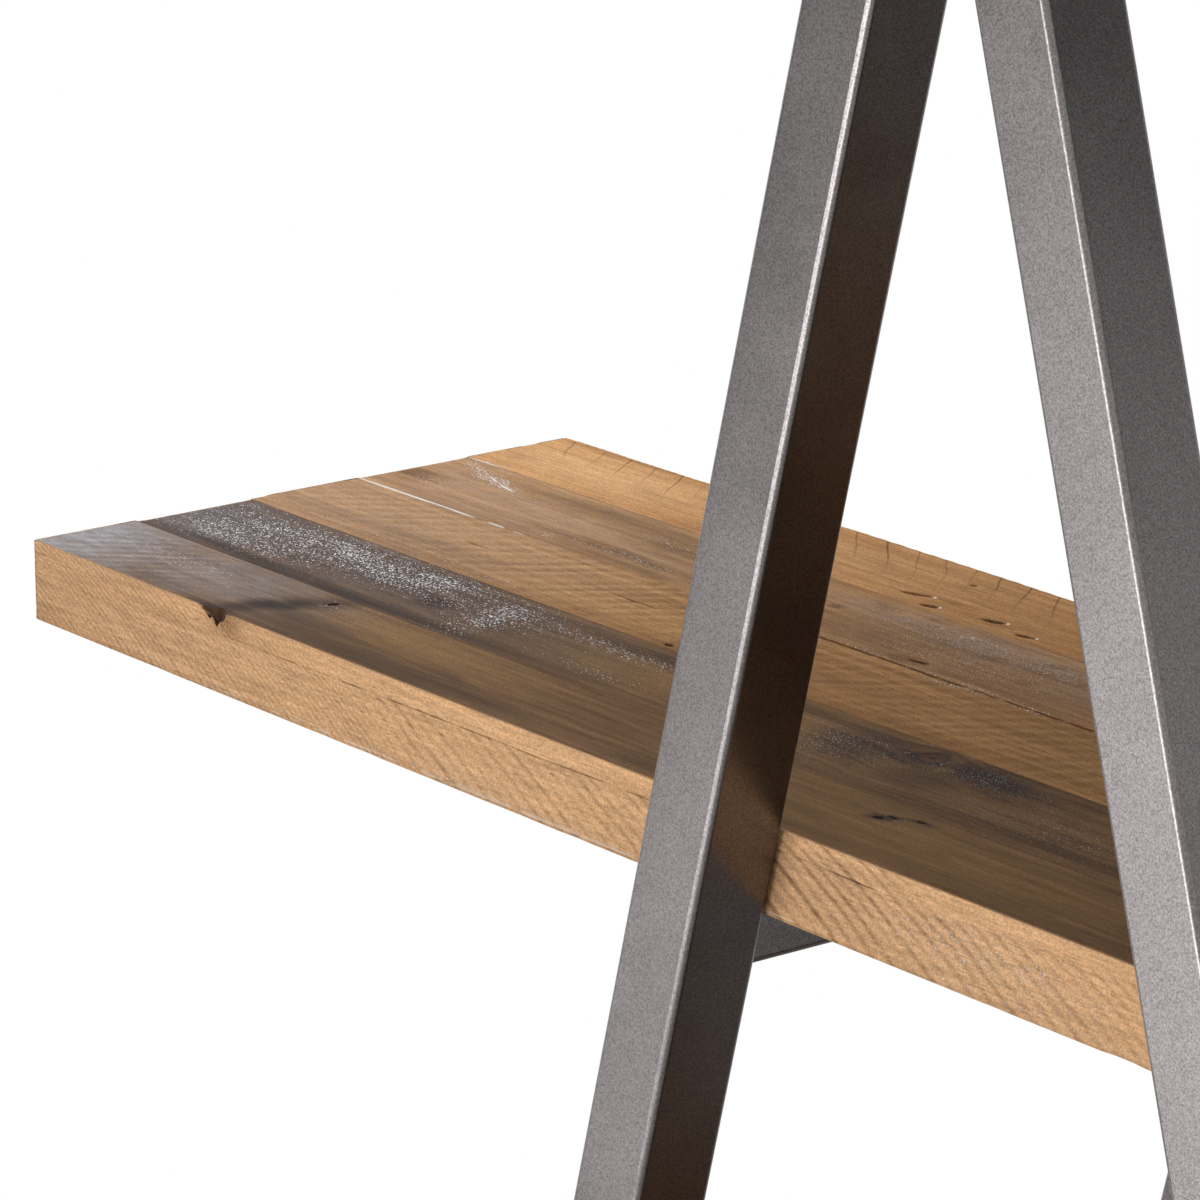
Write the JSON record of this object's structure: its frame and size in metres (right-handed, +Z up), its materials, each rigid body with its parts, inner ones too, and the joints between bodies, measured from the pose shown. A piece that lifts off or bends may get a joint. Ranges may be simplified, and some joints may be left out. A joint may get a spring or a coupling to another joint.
{
  "type": "triangular shelving unit",
  "caption": "Free-standing A-frame shelving unit: long reclaimed-plank shelves rest on rails between two leaning square-tube steel ladders joined at the apex.",
  "frame": {"origin": "on the floor, at the middle of the unit: the bottom centre of its bounding box", "axes": "+X along the shelves to the right, +Y to the back, +Z up"},
  "size_m": [1.4, 0.402, 1.8],
  "materials": {
    "plank_grey_brown": "reclaimed pine with a dark weathered face, sanded and waxed",
    "plank_brown": "reclaimed pine, brown with traces of old white paint, sanded and waxed",
    "plank_tan": "reclaimed pine, light tan with short dark checks, sanded and waxed",
    "frame_steel": "gunmetal lacquer with a fine metallic grain, satin",
    "ridge_fasteners": "zinc-plated steel",
    "wood_screws": "black phosphated steel",
    "foot_plastic": "moulded black polyethylene"
  },
  "bodies": {
    "root": {"front_left_leg": "frame_steel", "front_left_foot": "foot_plastic", "back_left_leg": "frame_steel", "back_left_foot": "foot_plastic", "left_ridge_rail": "frame_steel", "front_right_leg": "frame_steel", "front_right_foot": "foot_plastic", "back_right_leg": "frame_steel", "back_right_foot": "foot_plastic", "right_ridge_rail": "frame_steel", "bottom_left_rail": "frame_steel", "bottom_right_rail": "frame_steel", "bottom_shelf_plank_1": "plank_grey_brown", "bottom_shelf_plank_2": "plank_grey_brown", "bottom_shelf_plank_3": "plank_brown", "bottom_shelf_plank_4": "plank_brown", "bottom_shelf_plank_5": "plank_tan", "bottom_shelf_screws": "wood_screws", "middle_left_rail": "frame_steel", "middle_right_rail": "frame_steel", "middle_shelf_plank_1": "plank_grey_brown", "middle_shelf_plank_2": "plank_grey_brown", "middle_shelf_plank_3": "plank_brown", "middle_shelf_plank_4": "plank_brown", "middle_shelf_plank_5": "plank_tan", "middle_shelf_screws": "wood_screws", "top_left_rail": "frame_steel", "top_right_rail": "frame_steel", "top_shelf_plank_1": "plank_grey_brown", "top_shelf_plank_2": "plank_grey_brown", "top_shelf_plank_3": "plank_brown", "top_shelf_plank_4": "plank_brown", "top_shelf_plank_5": "plank_tan", "top_shelf_screws": "wood_screws", "ridge_bolts": "ridge_fasteners", "ridge_washers": "ridge_fasteners", "ridge_nuts": "ridge_fasteners"}
  },
  "joints": []
}
